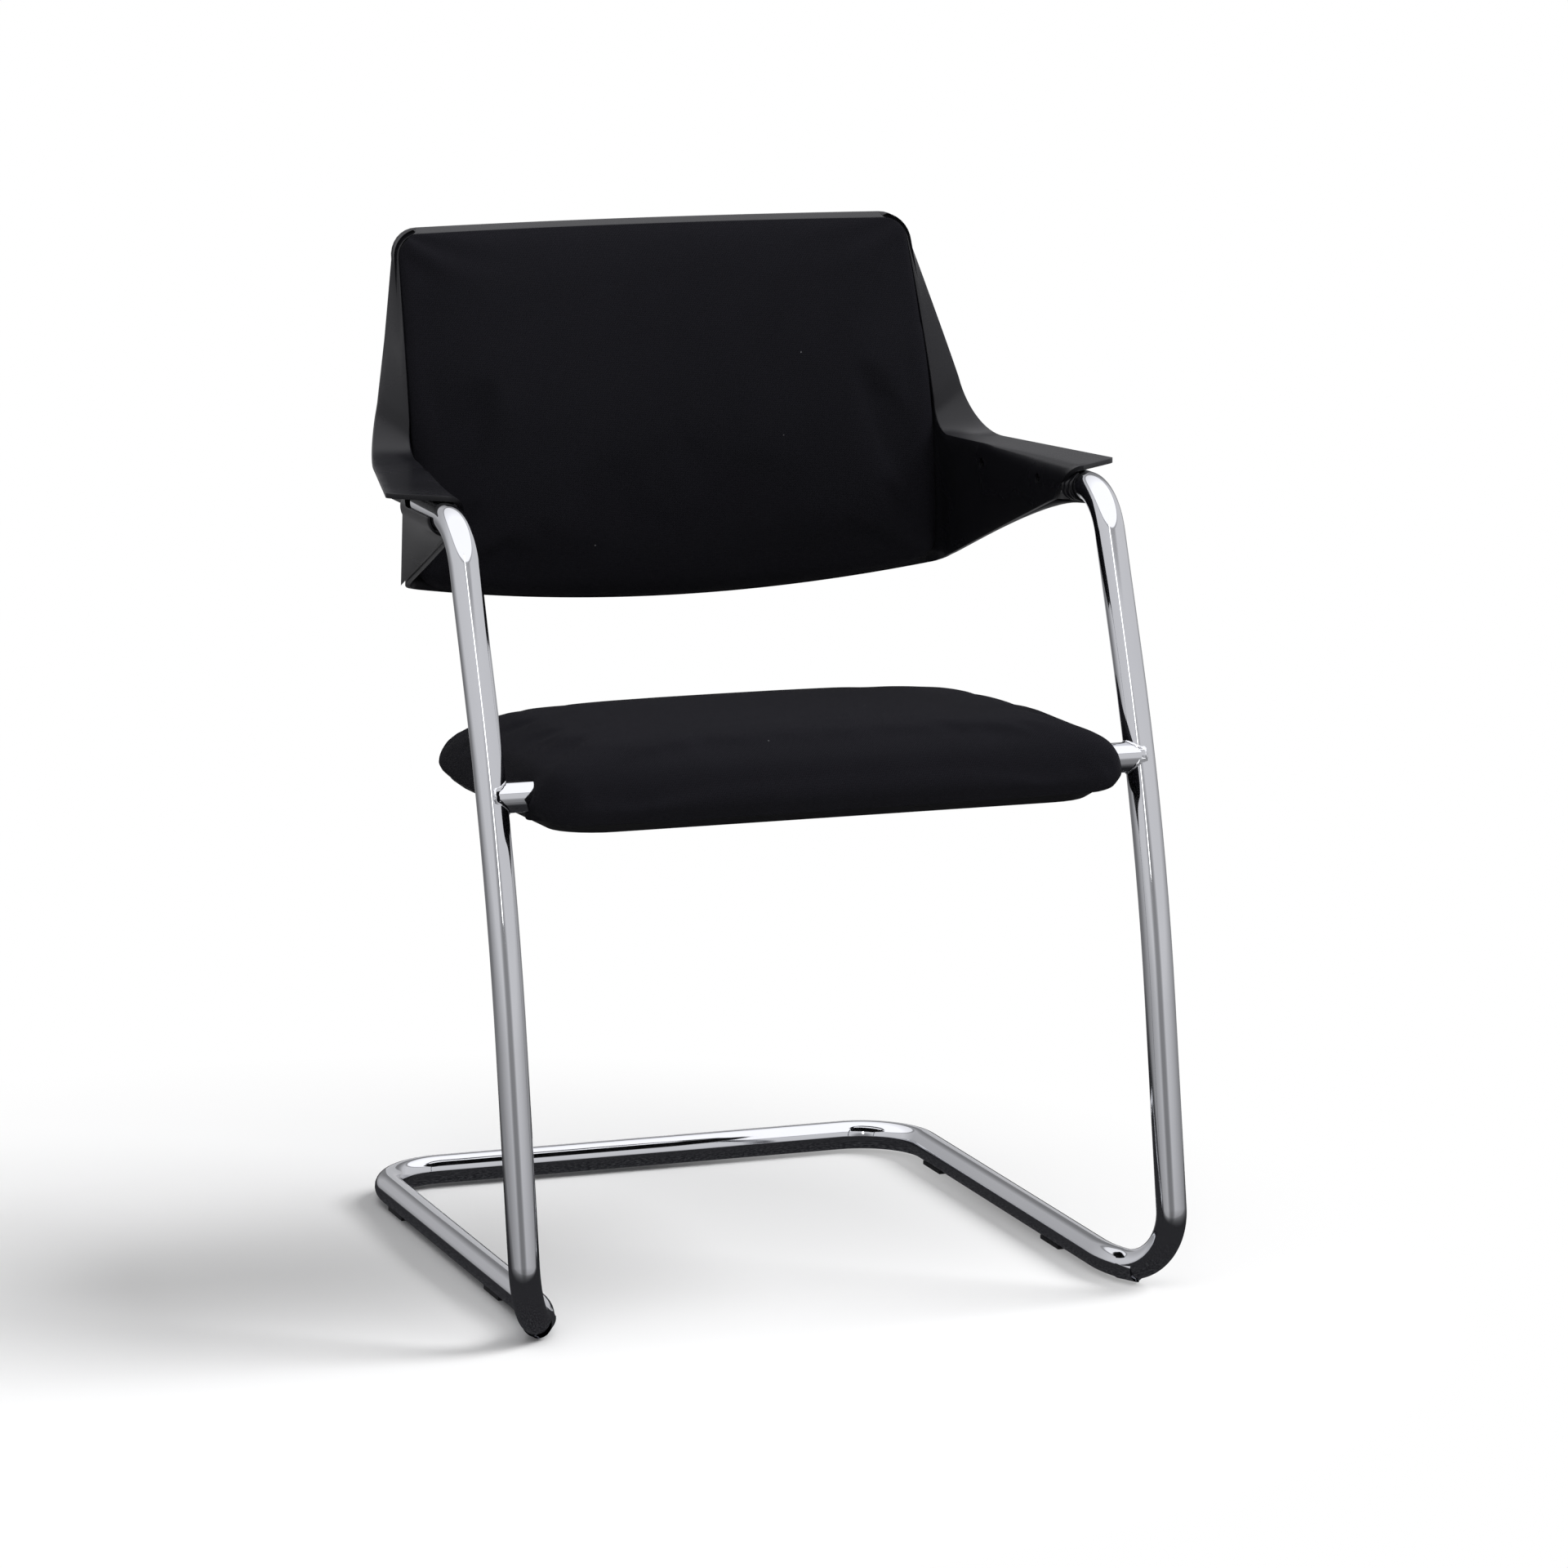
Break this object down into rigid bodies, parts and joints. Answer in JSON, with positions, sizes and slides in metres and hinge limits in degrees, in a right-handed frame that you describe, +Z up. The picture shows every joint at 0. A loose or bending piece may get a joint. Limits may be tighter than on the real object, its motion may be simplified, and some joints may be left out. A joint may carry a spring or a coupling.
{
  "type": "sled base conference chair",
  "caption": "Conference chair on a bent chrome sled tube, with a padded fabric seat, a padded back and a black moulded back shell that runs forward into open arms.",
  "frame": {"origin": "bottom centre of the bounding box, on the floor", "axes": "+Z up, the chair faces -Y, +X to the right seen from the front camera"},
  "size_m": [0.63, 0.5637, 0.838],
  "materials": {
    "chrome_tube": "polished chrome plate",
    "zinc_fixings": "zinc plated",
    "black_steel": "black powder coat",
    "shell_plastic": "fine satin grain",
    "pan_plastic": "matt",
    "dark_nylon": "matt",
    "plywood": "unfinished",
    "black_fabric": "fine plain weave"
  },
  "bodies": {
    "root": {"arm_insert_left": "zinc_fixings", "arm_insert_right": "zinc_fixings", "arm_saddle_left": "shell_plastic", "arm_saddle_right": "shell_plastic", "arm_screw_left_1": "zinc_fixings", "arm_screw_left_2": "zinc_fixings", "arm_screw_right_1": "zinc_fixings", "arm_screw_right_2": "zinc_fixings", "arm_tube_cover_left": "shell_plastic", "arm_tube_cover_right": "shell_plastic", "arm_tube_plug_left": "dark_nylon", "arm_tube_plug_right": "dark_nylon", "back_clip_left_1": "dark_nylon", "back_clip_left_2": "dark_nylon", "back_clip_left_3": "dark_nylon", "back_clip_right_1": "dark_nylon", "back_clip_right_2": "dark_nylon", "back_clip_right_3": "dark_nylon", "back_cushion": "black_fabric", "back_pad_carrier": "dark_nylon", "back_shell": "shell_plastic", "glide_front_left": "dark_nylon", "glide_front_right": "dark_nylon", "glide_rear_left": "dark_nylon", "glide_rear_right": "dark_nylon", "seat_board": "plywood", "seat_cross_tube": "chrome_tube", "seat_cushion": "black_fabric", "seat_pan": "pan_plastic", "seat_rail_left": "black_steel", "seat_rail_right": "black_steel", "seat_screw_1": "zinc_fixings", "seat_screw_2": "zinc_fixings", "seat_screw_3": "zinc_fixings", "seat_screw_4": "zinc_fixings", "seat_tee_nut_1": "zinc_fixings", "seat_tee_nut_2": "zinc_fixings", "seat_tee_nut_3": "zinc_fixings", "seat_tee_nut_4": "zinc_fixings", "sled_frame": "chrome_tube"}
  },
  "joints": []
}
